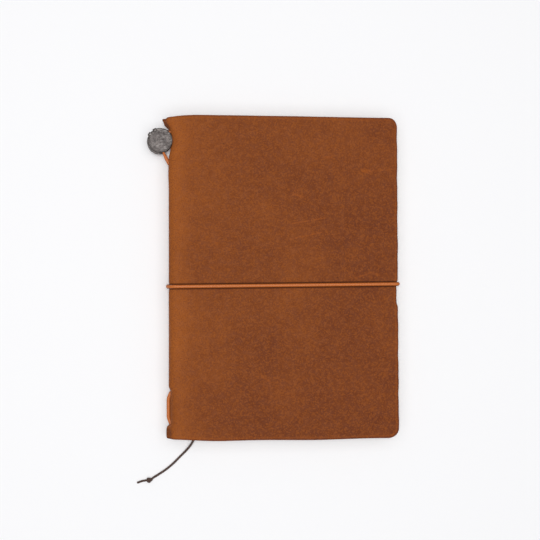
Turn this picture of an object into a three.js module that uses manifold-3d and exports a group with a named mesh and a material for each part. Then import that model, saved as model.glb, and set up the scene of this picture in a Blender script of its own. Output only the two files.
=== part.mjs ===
// A passport-size leather notebook cover, closed and lying on its back: one sheet of
// leather folded round a thin booklet, held by elastic cords through holes in the spine.
// Millimetres, +Z up. +Y is towards the head, +X from the spine to the fore-edge.
// The origin is the centre of the back cover's outer face.

import * as THREE from 'three';
import { mergeVertices } from 'three/addons/utils/BufferGeometryUtils.js';
import Module from 'manifold-3d';

const wasm = await Module();
wasm.setup();

// ---- driving dimensions --------------------------------------------------

const HEIGHT = 134;            // along the spine
const WIDTH = 95;              // spine to fore-edge
const THICKNESS = 10;          // over both covers, without the band
const LEATHER = 1.8;           // thickness of the hide
const BEND_RADIUS = 3;         // outside of the two folds beside the spine
const CORNER_RADIUS = 4;       // fore-edge corners, seen from above
const HEAD_DIP = 1.5;          // how far the head edge drops at the spine
const TAIL_DIP = 0.7;
const DIP_REACH = 10;          // the dips fade out this far from the spine
const FOLD_GAP_DEGREES = 1.2;  // each side of a fold's split line

const CORD = 1.7;              // diameter of the elastic
const CORD_SIDES = 8;
const CORD_HOLE = 2.3;         // diameter of the holes for one strand
const BAND_HOLE = 3.7;         // diameter of the hole for the band's two legs
const CLASP_HOLES = [60.4, 47.2];     // y of the two holes at the head
const TAIL_HOLES = [-47.2, -60.4];    // y of the two holes at the tail
const SPINE_DENT = 2;          // the clasp presses the spine in this far
const DENT_CENTRE = 56.9;
const DENT_REACH = 8.2;
const LOOP_DENT = 0.95;        // the elastic's outside loop presses it in at the tail
const WALL_START = 2.2;        // the spine's wall bends between these distances from
const WALL_EASE = 1.4;         // the covers, and moves in and out as one between them
const HEAD_EAR = -2.2;         // the spine flares outwards at both ends
const TAIL_EAR = -0.8;

const BAND_SINK = 0.5;         // the taut band presses this deep into the leather
const BAND_AT_SPINE = -3.6;    // y of the band at the spine and at the fore-edge
const BAND_AT_FORE_EDGE = -2.6;
const GROOVE_RADIUS = 1.15;
const LEG_SPREAD = 0.87;       // the band's legs leave its hole this far from the middle
const BAND_TURN = 1.3;         // radius of the band's turns at the fore-edge

const BOOKLET_HEIGHT = 124;
const BOOKLET_FOLD = 6.7;      // x of the axis that the booklet folds about
const LEAF_START = 7.9;        // x where the leaves become flat, past their fold
const BOOKLET_FORE_EDGE = 92.8;
const LEAVES = 16;             // in each half
const LEAF = 0.09;
const LEAF_PITCH = 0.1;
const HALF_GAP = 0.95;         // from the booklet's middle to the first leaf
const CARD = 0.25;             // the booklet's own kraft cover
const STAPLE_WIRE = 0.5;
const STAPLE_LENGTH = 12;
const STAPLE_PLACES = [34, -34];

const CLASP_RADIUS = 5.1;
const CLASP_PLATE = 0.45;
const CLASP_GAP = 0.9;         // between its two plates, where the ends are crimped
const CLASP_CENTRE = [-3.45, 56.65];
const BOOKMARK = 1.0;          // diameter of the bookmark's cord
const TOUCH_GAP = 0.3;         // between the ends of cords that meet
const TABLE = -1.2;            // the surface under the band's back strand

const MIDDLE = THICKNESS / 2;
const CORD_RADIUS = CORD / 2;
const BAND_OUT = CORD_RADIUS - BAND_SINK;     // band's centre line above the leather

// ---- materials -------------------------------------------------------------

const COLOURS = {
  leather: [0x83492a, 0.75, 0],
  elastic: [0x9c5526, 0.6, 0],
  tin: [0x787371, 0.5, 0.9],
  kraft: [0xa8875c, 0.9, 0],
  paper: [0xf1ecdd, 0.9, 0],
  steel: [0xb4b6b8, 0.35, 1],
  bookmark: [0x40302b, 0.8, 0],
};

const cover = new THREE.Group();
cover.position.x = -WIDTH / 2;      // below, x runs from 0 at the spine's outer face

function add(name, geometry, finish) {
  const [color, roughness, metalness] = COLOURS[finish];
  const mesh = new THREE.Mesh(geometry,
    new THREE.MeshStandardMaterial({ color, roughness, metalness }));
  mesh.name = name;
  cover.add(mesh);
}

// ---- helpers ----------------------------------------------------------------

function solid(geometry) {
  const bare = geometry.clone();
  bare.deleteAttribute('normal');
  bare.deleteAttribute('uv');
  const merged = mergeVertices(bare, 1e-4);
  return new wasm.Manifold(new wasm.Mesh({
    numProp: 3,
    vertProperties: new Float32Array(merged.attributes.position.array),
    triVerts: new Uint32Array(merged.index.array),
  }));
}

function geometryOf(manifold) {
  const mesh = manifold.getMesh();
  const geometry = new THREE.BufferGeometry();
  geometry.setAttribute('position', new THREE.BufferAttribute(mesh.vertProperties, 3));
  geometry.setIndex(new THREE.BufferAttribute(mesh.triVerts, 1));
  geometry.computeVertexNormals();
  return geometry;
}

const smooth = (t) => THREE.MathUtils.smoothstep(t, 0, 1);

// A path through corner points. Straight runs take one step and bends a few.
class Route extends THREE.Curve {
  constructor(points) {
    super();
    this.points = points;
  }

  getPoint(t, target = new THREE.Vector3()) {
    const last = this.points.length - 1;
    const place = THREE.MathUtils.clamp(t, 0, 1) * last;
    const i = Math.min(Math.floor(place), last - 1);
    return target.lerpVectors(this.points[i], this.points[i + 1], place - i);
  }

  getPointAt(u, target) {
    return this.getPoint(u, target);
  }

  getTangentAt(u, target = new THREE.Vector3()) {
    const last = this.points.length - 1;
    const i = Math.round(u * last);
    const before = this.points[Math.max(i - 1, 0)];
    const after = this.points[Math.min(i + 1, last)];
    return target.subVectors(after, before).normalize();
  }
}

// Rounds each inner corner, given as [x, y, z, radius], with a short arc.
function route(corners, steps = 5) {
  const at = corners.map(([x, y, z]) => new THREE.Vector3(x, y, z));
  const points = [at[0]];
  for (let i = 1; i < at.length - 1; i += 1) {
    const back = at[i - 1].clone().sub(at[i]).normalize();
    const ahead = at[i + 1].clone().sub(at[i]).normalize();
    const bend = Math.PI - back.angleTo(ahead);
    const radius = corners[i][3];
    const reach = radius * Math.tan(bend / 2);
    const middle = back.clone().add(ahead).setLength(radius / Math.cos(bend / 2)).add(at[i]);
    const first = at[i].clone().addScaledVector(back, reach).sub(middle);
    const final = at[i].clone().addScaledVector(ahead, reach).sub(middle);
    for (let k = 0; k <= steps; k += 1) {
      const turned = (bend * k) / steps;
      points.push(middle.clone()
        .addScaledVector(first, Math.sin(bend - turned) / Math.sin(bend))
        .addScaledVector(final, Math.sin(turned) / Math.sin(bend)));
    }
  }
  points.push(at[at.length - 1]);
  return new Route(points);
}

function tube(path, radius, steps = path.points.length - 1) {
  const section = new THREE.Shape(Array.from({ length: CORD_SIDES }, (_, i) => {
    const angle = (2 * Math.PI * (i + 0.5)) / CORD_SIDES;
    return new THREE.Vector2(radius * Math.cos(angle), radius * Math.sin(angle));
  }));
  return new THREE.ExtrudeGeometry(section, {
    extrudePath: path, steps, bevelEnabled: false,
  });
}

function ball(x, y, z, radii) {
  return new THREE.SphereGeometry(1, 16, 12).scale(...radii).translate(x, y, z);
}

function box(x, y, z) {
  return new THREE.BoxGeometry(x[1] - x[0], y[1] - y[0], z[1] - z[0])
    .translate((x[0] + x[1]) / 2, (y[0] + y[1]) / 2, (z[0] + z[1]) / 2);
}

function holeAlongX(y, diameter) {
  return solid(new THREE.CylinderGeometry(diameter / 2, diameter / 2, 12, 20)
    .rotateZ(Math.PI / 2).translate(0, y, MIDDLE));
}

// ---- the leather --------------------------------------------------------------

const INNER_RADIUS = BEND_RADIUS - LEATHER;

// Points on the lower fold's arc; the angle is measured from straight down to the spine.
function foldArc(radius, from, to, steps) {
  return Array.from({ length: steps + 1 }, (_, i) => {
    const angle = THREE.MathUtils.degToRad(from + ((to - from) * i) / steps);
    return [BEND_RADIUS - radius * Math.sin(angle), BEND_RADIUS - radius * Math.cos(angle)];
  });
}

// Extrudes a section given in x and z along the whole height, towards the tail.
function alongSpine(section, steps) {
  const shape = new THREE.Shape(section.map(([x, z]) => new THREE.Vector2(x, z)));
  return new THREE.ExtrudeGeometry(shape, { depth: HEIGHT, steps, bevelEnabled: false })
    .rotateX(Math.PI / 2).translate(0, HEIGHT / 2, 0);
}

// The outline that the folded sheet is trimmed to, seen from above.
function planOutline() {
  const head = HEIGHT / 2;
  const plan = new THREE.Shape();
  plan.moveTo(-4, -head + TAIL_DIP);
  plan.lineTo(0, -head + TAIL_DIP);
  plan.quadraticCurveTo(DIP_REACH * 0.4, -head, DIP_REACH, -head);
  plan.lineTo(WIDTH - CORNER_RADIUS, -head);
  plan.absarc(WIDTH - CORNER_RADIUS, -head + CORNER_RADIUS, CORNER_RADIUS, -Math.PI / 2, 0);
  plan.absarc(WIDTH - CORNER_RADIUS, head - CORNER_RADIUS, CORNER_RADIUS, 0, Math.PI / 2);
  plan.lineTo(DIP_REACH, head);
  plan.quadraticCurveTo(DIP_REACH * 0.4, head, 0, head - HEAD_DIP);
  plan.lineTo(-4, head - HEAD_DIP);
  return solid(new THREE.ExtrudeGeometry(plan, {
    depth: THICKNESS + 4, bevelEnabled: false, curveSegments: 8,
  }).translate(0, 0, -2));
}

// How far the spine's wall stands in (positive) or out at a place along it.
function spineShape(y) {
  const away = Math.min(Math.abs(y - DENT_CENTRE) / DENT_REACH, 1);
  const dent = SPINE_DENT * Math.cos((Math.PI / 2) * away) ** 2;
  const headEar = HEAD_EAR * smooth((y - 61.5) / 4.5);
  const loop = LOOP_DENT * smooth((y + 62.3) / 1.8) * smooth((-44.8 - y) / 2);
  const tailEar = TAIL_EAR * smooth((-61.6 - y) / 1.6);
  return dent + headEar + loop + tailEar;
}

// The wall moves fully in its middle, and not at all beside the folds.
function wallShare(z) {
  const fromFold = Math.min(z, THICKNESS - z) - WALL_START;
  return smooth(fromFold / WALL_EASE);
}

function bandY(x) {
  return THREE.MathUtils.lerp(BAND_AT_SPINE, BAND_AT_FORE_EDGE, x / WIDTH);
}

const BAND_LOW = -BAND_OUT;
const BAND_HIGH = THICKNESS + BAND_OUT;
const BAND_FORE_EDGE = WIDTH + 0.02;
const BAND_FOLD = BEND_RADIUS + BAND_OUT;

// The groove that the taut band presses: over the front, round the spine, under the back.
function grooveCutter() {
  const y0 = bandY(0);
  const y1 = bandY(WIDTH);
  const fold = BAND_FOLD;
  return solid(tube(route([
    [-BAND_OUT, y0, MIDDLE],
    [-BAND_OUT, y0, BAND_HIGH, fold],
    [BAND_FORE_EDGE, y1, BAND_HIGH, BAND_TURN],
    [BAND_FORE_EDGE, y1, BAND_LOW, BAND_TURN],
    [-BAND_OUT, y0, BAND_LOW, fold],
    [-BAND_OUT, y0, MIDDLE - 0.2],
  ], 6), GROOVE_RADIUS));
}

const plan = planOutline();
const groove = grooveCutter();
const splitBelow = 45 - FOLD_GAP_DEGREES;
const splitAbove = 45 + FOLD_GAP_DEGREES;

function coverSection(flip) {
  const section = [
    [WIDTH, 0], ...foldArc(BEND_RADIUS, 0, splitBelow, 5),
    ...foldArc(INNER_RADIUS, splitBelow, 0, 5), [WIDTH, LEATHER],
  ];
  return section.map(([x, z]) => [x, flip ? THICKNESS - z : z]);
}

function leatherCover(flip) {
  const sheet = solid(alongSpine(coverSection(flip), 1));
  return geometryOf(sheet.intersect(plan).subtract(groove));
}

function spineSection() {
  const heights = [3.3, 3.6, 5, 6.4, 6.7];
  const below = foldArc(BEND_RADIUS, splitAbove, 90, 5);
  const inside = foldArc(INNER_RADIUS, 90, splitAbove, 5);
  const flipped = ([x, z]) => [x, THICKNESS - z];
  return [
    ...below, ...heights.map((z) => [0, z]), ...below.map(flipped).reverse(),
    ...inside.map(flipped).reverse(), ...heights.map((z) => [LEATHER, z]).reverse(), ...inside,
  ];
}

function leatherSpine() {
  const wall = alongSpine(spineSection(), 60);
  const at = wall.attributes.position;
  for (let i = 0; i < at.count; i += 1) {
    at.setX(i, at.getX(i) + spineShape(at.getY(i)) * wallShare(at.getZ(i)));
  }
  let leather = solid(wall).intersect(plan).subtract(groove);
  for (const y of [...CLASP_HOLES, ...TAIL_HOLES]) {
    leather = leather.subtract(holeAlongX(y, CORD_HOLE));
  }
  return geometryOf(leather.subtract(holeAlongX(bandY(0), BAND_HOLE)));
}

add('leather_back_cover', leatherCover(false), 'leather');
add('leather_front_cover', leatherCover(true), 'leather');
add('leather_spine', leatherSpine(), 'leather');

// ---- the closing band ------------------------------------------------------------

const STUB_END = 6;        // x where the pieces round the spine meet the straight strands
const TURN_START = 92.8;   // x where the turn round the fore-edge meets them
const y0 = bandY(0);

// One leg: out of the hole and round a fold of the spine to the front (1) or back (-1).
function bandLeg(side) {
  const leg = MIDDLE + side * LEG_SPREAD;
  const strand = MIDDLE + side * (BAND_HIGH - MIDDLE);
  return solid(tube(route([
    [1.95, y0, leg],
    [-BAND_OUT, y0, leg, 0.9],
    [-BAND_OUT, y0, strand, BAND_FOLD],
    [STUB_END, bandY(STUB_END), strand],
  ]), CORD_RADIUS));
}

const bandKnot = solid(ball(2.36, y0, MIDDLE, [0.5, 1.2, 1.6]));
add('closing_band_spine', geometryOf(bandLeg(1).add(bandLeg(-1)).add(bandKnot)), 'elastic');

for (const [name, z] of [['front', BAND_HIGH], ['back', BAND_LOW]]) {
  const from = STUB_END + TOUCH_GAP;
  const to = TURN_START - TOUCH_GAP;
  const strand = route([[from, bandY(from), z], [to, bandY(to), z]]);
  add(`closing_band_${name}`, tube(strand, CORD_RADIUS), 'elastic');
}

const foreEdgeTurn = route([
  [TURN_START, bandY(TURN_START), BAND_HIGH],
  [BAND_FORE_EDGE, bandY(WIDTH), BAND_HIGH, BAND_TURN],
  [BAND_FORE_EDGE, bandY(WIDTH), BAND_LOW, BAND_TURN],
  [TURN_START, bandY(TURN_START), BAND_LOW],
]);
add('closing_band_fore_edge_loop', tube(foreEdgeTurn, CORD_RADIUS), 'elastic');

// ---- the spine elastic and the clasp ------------------------------------------------

const END_TURN = 63.9;     // y where the elastic passes the booklet's head and tail
const FOLD_STRAND = BOOKLET_FOLD + 0.4;   // x of the strand in the middle fold
const [headHole, claspHole] = CLASP_HOLES;
const [loopTop, loopBottom] = TAIL_HOLES;

const spineElastic = route([
  [0.75, claspHole, MIDDLE],
  [2.75, claspHole, MIDDLE, 0.9],
  [2.75, 4.5, MIDDLE, 8],
  [3.85, y0, MIDDLE, 8],           // over the band's knot
  [2.8, -11.5, MIDDLE, 8],
  [2.8, -40, MIDDLE, 8],
  [3.75, loopTop, MIDDLE, 0.9],
  [-0.05, loopTop, MIDDLE, 0.86],
  [-0.05, loopBottom, MIDDLE, 0.86],
  [3.9, loopBottom, MIDDLE, 0.9],
  [3.9, -END_TURN, MIDDLE, 0.9],
  [FOLD_STRAND, -END_TURN, MIDDLE, 0.9],
  [FOLD_STRAND, END_TURN, MIDDLE, 0.9],
  [4.1, END_TURN, MIDDLE, 0.9],
  [4.1, headHole, MIDDLE, 0.9],
  [1.1, headHole, MIDDLE],
], 4);
add('spine_elastic', tube(spineElastic, CORD_RADIUS), 'elastic');

const [claspX, claspY] = CLASP_CENTRE;
add('clasp_strand', tube(route([
  [0.05, claspHole, MIDDLE],
  [-0.95, claspHole + 0.6, MIDDLE, 0.8],
  [-1.9, claspY - CLASP_RADIUS - 0.5, MIDDLE],
]), CORD_RADIUS), 'elastic');

function claspPlate(x, y, z) {
  return solid(new THREE.CylinderGeometry(CLASP_RADIUS, CLASP_RADIUS, CLASP_PLATE, 48)
    .rotateX(Math.PI / 2).translate(x, y, z));
}

// A tab on the plates' edge, folded from the front plate to the back one.
function claspTab(degrees, height) {
  return solid(box([CLASP_RADIUS - 0.7, CLASP_RADIUS + 0.35], [-0.8, 0.8], height)
    .rotateZ(THREE.MathUtils.degToRad(degrees)).translate(claspX, claspY, 0));
}

const plateRise = (CLASP_GAP + CLASP_PLATE) / 2;
const tabHeight = [MIDDLE - plateRise - CLASP_PLATE / 2, MIDDLE + plateRise + CLASP_PLATE / 2];
add('clasp', geometryOf(claspPlate(claspX, claspY, MIDDLE + plateRise)
  .add(claspPlate(claspX - 0.45, claspY - 0.55, MIDDLE - plateRise))
  .add(claspTab(115, tabHeight))
  .add(claspTab(146, tabHeight))), 'tin');

// ---- the bookmark ---------------------------------------------------------------------

const LOW = TABLE + BOOKMARK / 2;
const HITCH_X = 5.6;

// From the hitch at the head, between the leaves, out at the tail and down to the table.
const BOOKMARK_ROUTE = [
  [6.6, 65.4, MIDDLE], [8.2, 65.2, MIDDLE], [9.3, 63.6, MIDDLE], [9.5, 60, MIDDLE],
  [9.8, 30, MIDDLE], [10, 0, MIDDLE], [10.2, -30, MIDDLE], [10.4, -57, MIDDLE],
  [11, -62, 4.8], [11, -65.5, 3.6], [10, -68, 2], [9, -70, 0.5], [7, -72.5, -0.4],
  [4.5, -75, LOW], [2, -77.5, LOW], [-1, -80, LOW], [-4, -82, LOW], [-6.5, -83.5, LOW],
];
const bookmarkRoute = new THREE.CatmullRomCurve3(
  BOOKMARK_ROUTE.map((point) => new THREE.Vector3(...point)), false, 'centripetal');
add('bookmark_cord', tube(bookmarkRoute, BOOKMARK / 2, 64), 'bookmark');

add('bookmark_hitch', new THREE.TorusGeometry(1.42, BOOKMARK / 2, 8, 20)
  .rotateY(Math.PI / 2).translate(HITCH_X, END_TURN, MIDDLE), 'bookmark');
add('bookmark_knot', ball(-8, -84.5, TABLE + 0.95, [1.35, 1, 0.95]), 'bookmark');
add('bookmark_tail', tube(route([
  [-9.8, -84.6, LOW], [-11, -84.8, LOW, 6], [-13, -85.5, LOW],
]), BOOKMARK / 2), 'bookmark');

// ---- the booklet ------------------------------------------------------------------------

const LEAF_X = [LEAF_START, BOOKLET_FORE_EDGE];
const LEAF_Y = [-BOOKLET_HEIGHT / 2, BOOKLET_HEIGHT / 2];

// A flat layer of one half, this far from the booklet's middle.
function layer(side, distance, thickness) {
  const near = MIDDLE + side * distance;
  const far = MIDDLE + side * (distance + thickness);
  return box(LEAF_X, LEAF_Y, [Math.min(near, far), Math.max(near, far)]);
}

for (const [half, side] of [['back', -1], ['front', 1]]) {
  for (let i = 0; i < LEAVES; i += 1) {
    const number = String(i + 1).padStart(2, '0');
    add(`leaf_${half}_${number}`, layer(side, HALF_GAP + i * LEAF_PITCH, LEAF), 'paper');
  }
  add(`booklet_cover_${half}`, layer(side, HALF_GAP + LEAVES * LEAF_PITCH, CARD), 'kraft');
}

const STAPLE_INSIDE = BOOKLET_FOLD - 0.75;
const STAPLE_OUTSIDE = BOOKLET_FOLD - 2.35;

STAPLE_PLACES.forEach((y, i) => {
  const reach = STAPLE_LENGTH / 2;
  add(`staple_${i + 1}`, tube(route([
    [STAPLE_INSIDE, y - 1, MIDDLE],
    [STAPLE_INSIDE, y - reach, MIDDLE, 0.4],
    [STAPLE_OUTSIDE, y - reach, MIDDLE, 0.4],
    [STAPLE_OUTSIDE, y + reach, MIDDLE, 0.4],
    [STAPLE_INSIDE, y + reach, MIDDLE, 0.4],
    [STAPLE_INSIDE, y + 1, MIDDLE],
  ], 3), STAPLE_WIRE / 2), 'steel');
});

const part = new THREE.Group();
part.add(cover);
part.updateMatrixWorld(true);

export default part;
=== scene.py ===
"""A passport-size leather notebook cover, closed, with its elastic band, metal clasp and bookmark.

Lengths in the tables below are millimetres in the notebook's own terms: x from the spine's
outer face to the fore-edge, y towards the head, z up from the back cover's outer face.
"""

import math

import bpy
import numpy as np
from mathutils import Matrix, Vector


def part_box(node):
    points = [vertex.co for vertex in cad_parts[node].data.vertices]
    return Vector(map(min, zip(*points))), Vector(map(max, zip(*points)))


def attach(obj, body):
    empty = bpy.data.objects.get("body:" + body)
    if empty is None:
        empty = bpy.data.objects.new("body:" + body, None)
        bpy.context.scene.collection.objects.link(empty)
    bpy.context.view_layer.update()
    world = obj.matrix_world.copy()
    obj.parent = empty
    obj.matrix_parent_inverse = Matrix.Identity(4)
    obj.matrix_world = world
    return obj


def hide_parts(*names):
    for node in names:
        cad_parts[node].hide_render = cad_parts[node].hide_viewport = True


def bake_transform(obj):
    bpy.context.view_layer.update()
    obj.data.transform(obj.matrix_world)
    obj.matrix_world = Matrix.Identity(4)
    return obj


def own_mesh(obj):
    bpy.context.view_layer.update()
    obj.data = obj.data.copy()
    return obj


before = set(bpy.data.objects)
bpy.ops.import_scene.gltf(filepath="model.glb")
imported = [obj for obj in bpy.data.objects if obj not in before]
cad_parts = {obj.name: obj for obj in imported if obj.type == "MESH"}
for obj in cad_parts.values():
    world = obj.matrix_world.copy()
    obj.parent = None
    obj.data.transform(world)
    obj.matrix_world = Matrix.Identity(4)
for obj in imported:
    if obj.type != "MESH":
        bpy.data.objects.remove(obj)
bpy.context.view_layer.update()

MM = 0.001

# ---- sizes and places ----

fore_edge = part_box("leather_front_cover")[1]
WIDTH = 95.0
HEIGHT = 134.0
THICKNESS = fore_edge.z / MM
MIDDLE = THICKNESS / 2
SPINE_X = fore_edge.x / MM - WIDTH
LEATHER = 1.8
FOLD_RADIUS = 3.0  # outside of the two folds beside the spine
CORNER_RADIUS = 4.0
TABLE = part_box("bookmark_knot")[0].z / MM

CORD_RADIUS = 0.85
BAND_SINK = 0.5
BAND_AT_SPINE = -3.6
BAND_AT_FORE_EDGE = -2.6
BAND_FORE_EDGE = WIDTH + 0.02
BAND_SLOPE = (BAND_AT_FORE_EDGE - BAND_AT_SPINE) / WIDTH
CLASP_HOLES = (60.4, 47.2)
TAIL_HOLES = (-47.2, -60.4)
BOOKLET_FOLD = 6.7  # x of the axis that the booklet folds about
BOOKLET_HALF_HEIGHT = 62.0
LEAF_END = 92.8
FOLD_STRAND = BOOKLET_FOLD + 0.4
END_TURN = 63.9
CLASP_CENTRE = (-3.45, 56.65)
CLASP_RADIUS = 5.1
BOOKMARK_RADIUS = 0.5


def place(x, y, z):
    """A point given in the notebook's millimetres, in the row frame in metres."""
    return Vector(((SPINE_X + x) * MM, y * MM, z * MM))


def places(points):
    """Many such points, as an array in metres."""
    return (np.asarray(points, float) + (SPINE_X, 0, 0)) * MM


def smooth(t):
    t = np.clip(t, 0, 1)
    return t * t * (3 - 2 * t)


def band_y(x):
    return BAND_AT_SPINE + BAND_SLOPE * np.clip(x, 0, WIDTH)


def link(thing):
    """Puts an object into the scene."""
    bpy.context.scene.collection.objects.link(thing)
    return thing


# ---- camera ----

CAMERA_DISTANCE = 450.0
CAMERA_TILT = math.radians(5.0)  # towards the spine side
VIEW_WIDTH = 222.3  # millimetres across the picture at the cover's height
VIEW_CENTRE = (41.5, 3.2, THICKNESS)


def make_camera():
    data = bpy.data.cameras.new("camera")
    data.sensor_width = 36
    data.lens = data.sensor_width * CAMERA_DISTANCE / VIEW_WIDTH
    data.clip_end = 10
    camera = bpy.data.objects.new("camera", data)
    back = Vector((-math.sin(CAMERA_TILT), 0, math.cos(CAMERA_TILT)))
    right = Vector((0, 1, 0)).cross(back).normalized()
    up = back.cross(right)
    turn = Matrix((right, up, back)).transposed().to_4x4()
    camera.matrix_world = Matrix.Translation(
        place(*VIEW_CENTRE) + back * CAMERA_DISTANCE * MM) @ turn
    bpy.context.scene.camera = link(camera)


make_camera()


# ---- mesh helpers ----

def new_mesh(name, vertices, faces, materials, face_material=None, attributes=()):
    """A smooth mesh object. attributes are (name, kind, values), one value to a vertex."""
    mesh = bpy.data.meshes.new(name)
    mesh.from_pydata(np.asarray(vertices, float).tolist(), [], [list(f) for f in faces])
    for material in materials:
        mesh.materials.append(material)
    mesh.polygons.foreach_set("use_smooth", [True] * len(mesh.polygons))
    if face_material is not None:
        mesh.polygons.foreach_set("material_index", face_material)
    for label, kind, values in attributes:
        data = mesh.attributes.new(label, kind, "POINT").data
        key = "vector" if kind == "FLOAT_VECTOR" else "value"
        data.foreach_set(key, np.asarray(values, np.float32).ravel())
    mesh.validate()
    mesh.update()
    return link(bpy.data.objects.new(name, mesh))


def rounded(corners, steps=8):
    """Points of a path whose inner corners, given as (x, y, z, radius), are arcs."""
    at = [np.array(c[:3], float) for c in corners]
    points = [at[0]]
    for i in range(1, len(at) - 1):
        back = (at[i - 1] - at[i]) / np.linalg.norm(at[i - 1] - at[i])
        ahead = (at[i + 1] - at[i]) / np.linalg.norm(at[i + 1] - at[i])
        bend = math.pi - math.acos(np.clip(back @ ahead, -1, 1))
        radius = corners[i][3]
        middle = back + ahead
        middle = at[i] + middle / np.linalg.norm(middle) * radius / math.cos(bend / 2)
        first = at[i] + back * radius * math.tan(bend / 2) - middle
        final = at[i] + ahead * radius * math.tan(bend / 2) - middle
        for turned in np.linspace(0, bend, steps + 1):
            points.append(middle + (first * math.sin(bend - turned)
                                    + final * math.sin(turned)) / math.sin(bend))
    points.append(at[-1])
    return np.array(points)


def lengths(points):
    """The distance along a path at each of its points."""
    return np.concatenate([[0], np.cumsum(np.linalg.norm(np.diff(points, axis=0), axis=1))])


def resample(points, step):
    """The same path with points about step apart."""
    along = lengths(points)
    at = np.linspace(0, along[-1], max(2, round(along[-1] / step) + 1))
    return np.stack([np.interp(at, along, points[:, k]) for k in range(3)], axis=1)


def spline(points, per_span=8):
    """A smooth path through points (centripetal Catmull-Rom)."""
    p = np.array(points, float)
    p = np.vstack([2 * p[0] - p[1], p, 2 * p[-1] - p[-2]])
    made = []
    for a, b, c, d in zip(p, p[1:], p[2:], p[3:]):
        knots = np.cumsum([0, *(np.linalg.norm(v - u) ** 0.5
                                for u, v in ((a, b), (b, c), (c, d)))])
        t0, t1, t2, t3 = knots
        for t in np.linspace(t1, t2, per_span, endpoint=False):
            ab = (a * (t1 - t) + b * (t - t0)) / (t1 - t0)
            bc = (b * (t2 - t) + c * (t - t1)) / (t2 - t1)
            cd = (c * (t3 - t) + d * (t - t2)) / (t3 - t2)
            abc = (ab * (t2 - t) + bc * (t - t0)) / (t2 - t0)
            bcd = (bc * (t3 - t) + cd * (t - t1)) / (t3 - t1)
            made.append((abc * (t2 - t) + bcd * (t - t1)) / (t2 - t1))
    return np.array([*made, p[-2]])


def path_frames(points):
    """Two unit vectors across the path at each point, carried along without twisting."""
    tangents = np.gradient(points, axis=0)
    tangents /= np.linalg.norm(tangents, axis=1)[:, None]
    start = np.cross(tangents[0], (0, 0, 1.0))
    if np.linalg.norm(start) < 0.1:
        start = np.cross(tangents[0], (0, 1.0, 0))
    across = [start / np.linalg.norm(start)]
    for tangent in tangents[1:]:
        side = across[-1] - tangent * (across[-1] @ tangent)
        across.append(side / np.linalg.norm(side))
    across = np.array(across)
    return across, np.cross(tangents, across)


def grid_faces(grid):
    """The four-sided faces of a grid of vertex numbers."""
    return np.stack([grid[:-1, :-1], grid[1:, :-1], grid[1:, 1:], grid[:-1, 1:]],
                    axis=-1).reshape(-1, 4)


def ring_faces(count, sides):
    """The faces that join count rings in turn, and fill both ends to a middle vertex."""
    faces = []
    first, last = count * sides, count * sides + 1
    around = [(k, (k + 1) % sides) for k in range(sides)]
    for at in range(0, (count - 1) * sides, sides):
        faces.extend((at + k, at + n, at + sides + n, at + sides + k) for k, n in around)
    end = (count - 1) * sides
    for k, n in around:
        faces.append((first, n, k))
        faces.append((last, end + k, end + n))
    return faces


def ring_vertices(rings):
    """The rings' vertices, then the middle of the first ring and of the last."""
    return np.vstack([rings.reshape(-1, 3), rings[0].mean(0), rings[-1].mean(0)])


def tube(name, points, radius, material, sides=16, section=None, round_ends=True):
    """A closed tube along points, in notebook millimetres.

    section(along, angle) scales the radius; the attribute cord holds (along, angle, 0).
    """
    points = np.asarray(points, float)
    along = lengths(points)
    across, over = path_frames(points)
    angles = np.linspace(0, 2 * math.pi, sides, endpoint=False)
    ring_radius = np.full((len(points), sides), float(radius))
    if section is not None:
        ring_radius *= section(along[:, None], angles[None, :])
    rings = (points[:, None]
             + across[:, None] * (ring_radius * np.cos(angles))[..., None]
             + over[:, None] * (ring_radius * np.sin(angles))[..., None])
    if round_ends:
        rings, along = add_domes(rings, along, points, radius)
    count = len(rings)
    vertices = places(ring_vertices(rings))
    coords = np.zeros((len(vertices), 3))
    coords[: count * sides, 0] = np.repeat(along, sides)
    coords[: count * sides, 1] = np.tile(angles, count)
    coords[-2:, 0] = along[0], along[-1]
    return new_mesh(name, vertices, ring_faces(count, sides), [material],
                    attributes=[("cord", "FLOAT_VECTOR", coords)])


def add_domes(rings, along, points, radius):
    """Rounds a tube's ends with a few rings that close in."""
    for end, step in ((0, 1), (-1, -1)):
        outward = points[end] - points[end + step]
        outward /= np.linalg.norm(outward)
        middle = rings[end].mean(0)
        extra = [middle + (rings[end] - middle) * math.cos(a)
                 + outward * radius * 0.6 * math.sin(a) for a in (0.45, 0.9, 1.3)]
        if end == 0:
            rings = np.concatenate([np.array(extra[::-1]), rings])
            along = np.concatenate([[along[0]] * 3, along])
        else:
            rings = np.concatenate([rings, np.array(extra)])
            along = np.concatenate([along, [along[-1]] * 3])
    return rings, along


# ---- materials ----

def colour(red, green, blue):
    """A screen colour, 0 to 255, as the linear colour that a shader takes."""
    parts = [c / 255 for c in (red, green, blue)]
    return tuple(c / 12.92 if c <= 0.04045 else ((c + 0.055) / 1.055) ** 2.4 for c in parts) + (1,)


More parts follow.
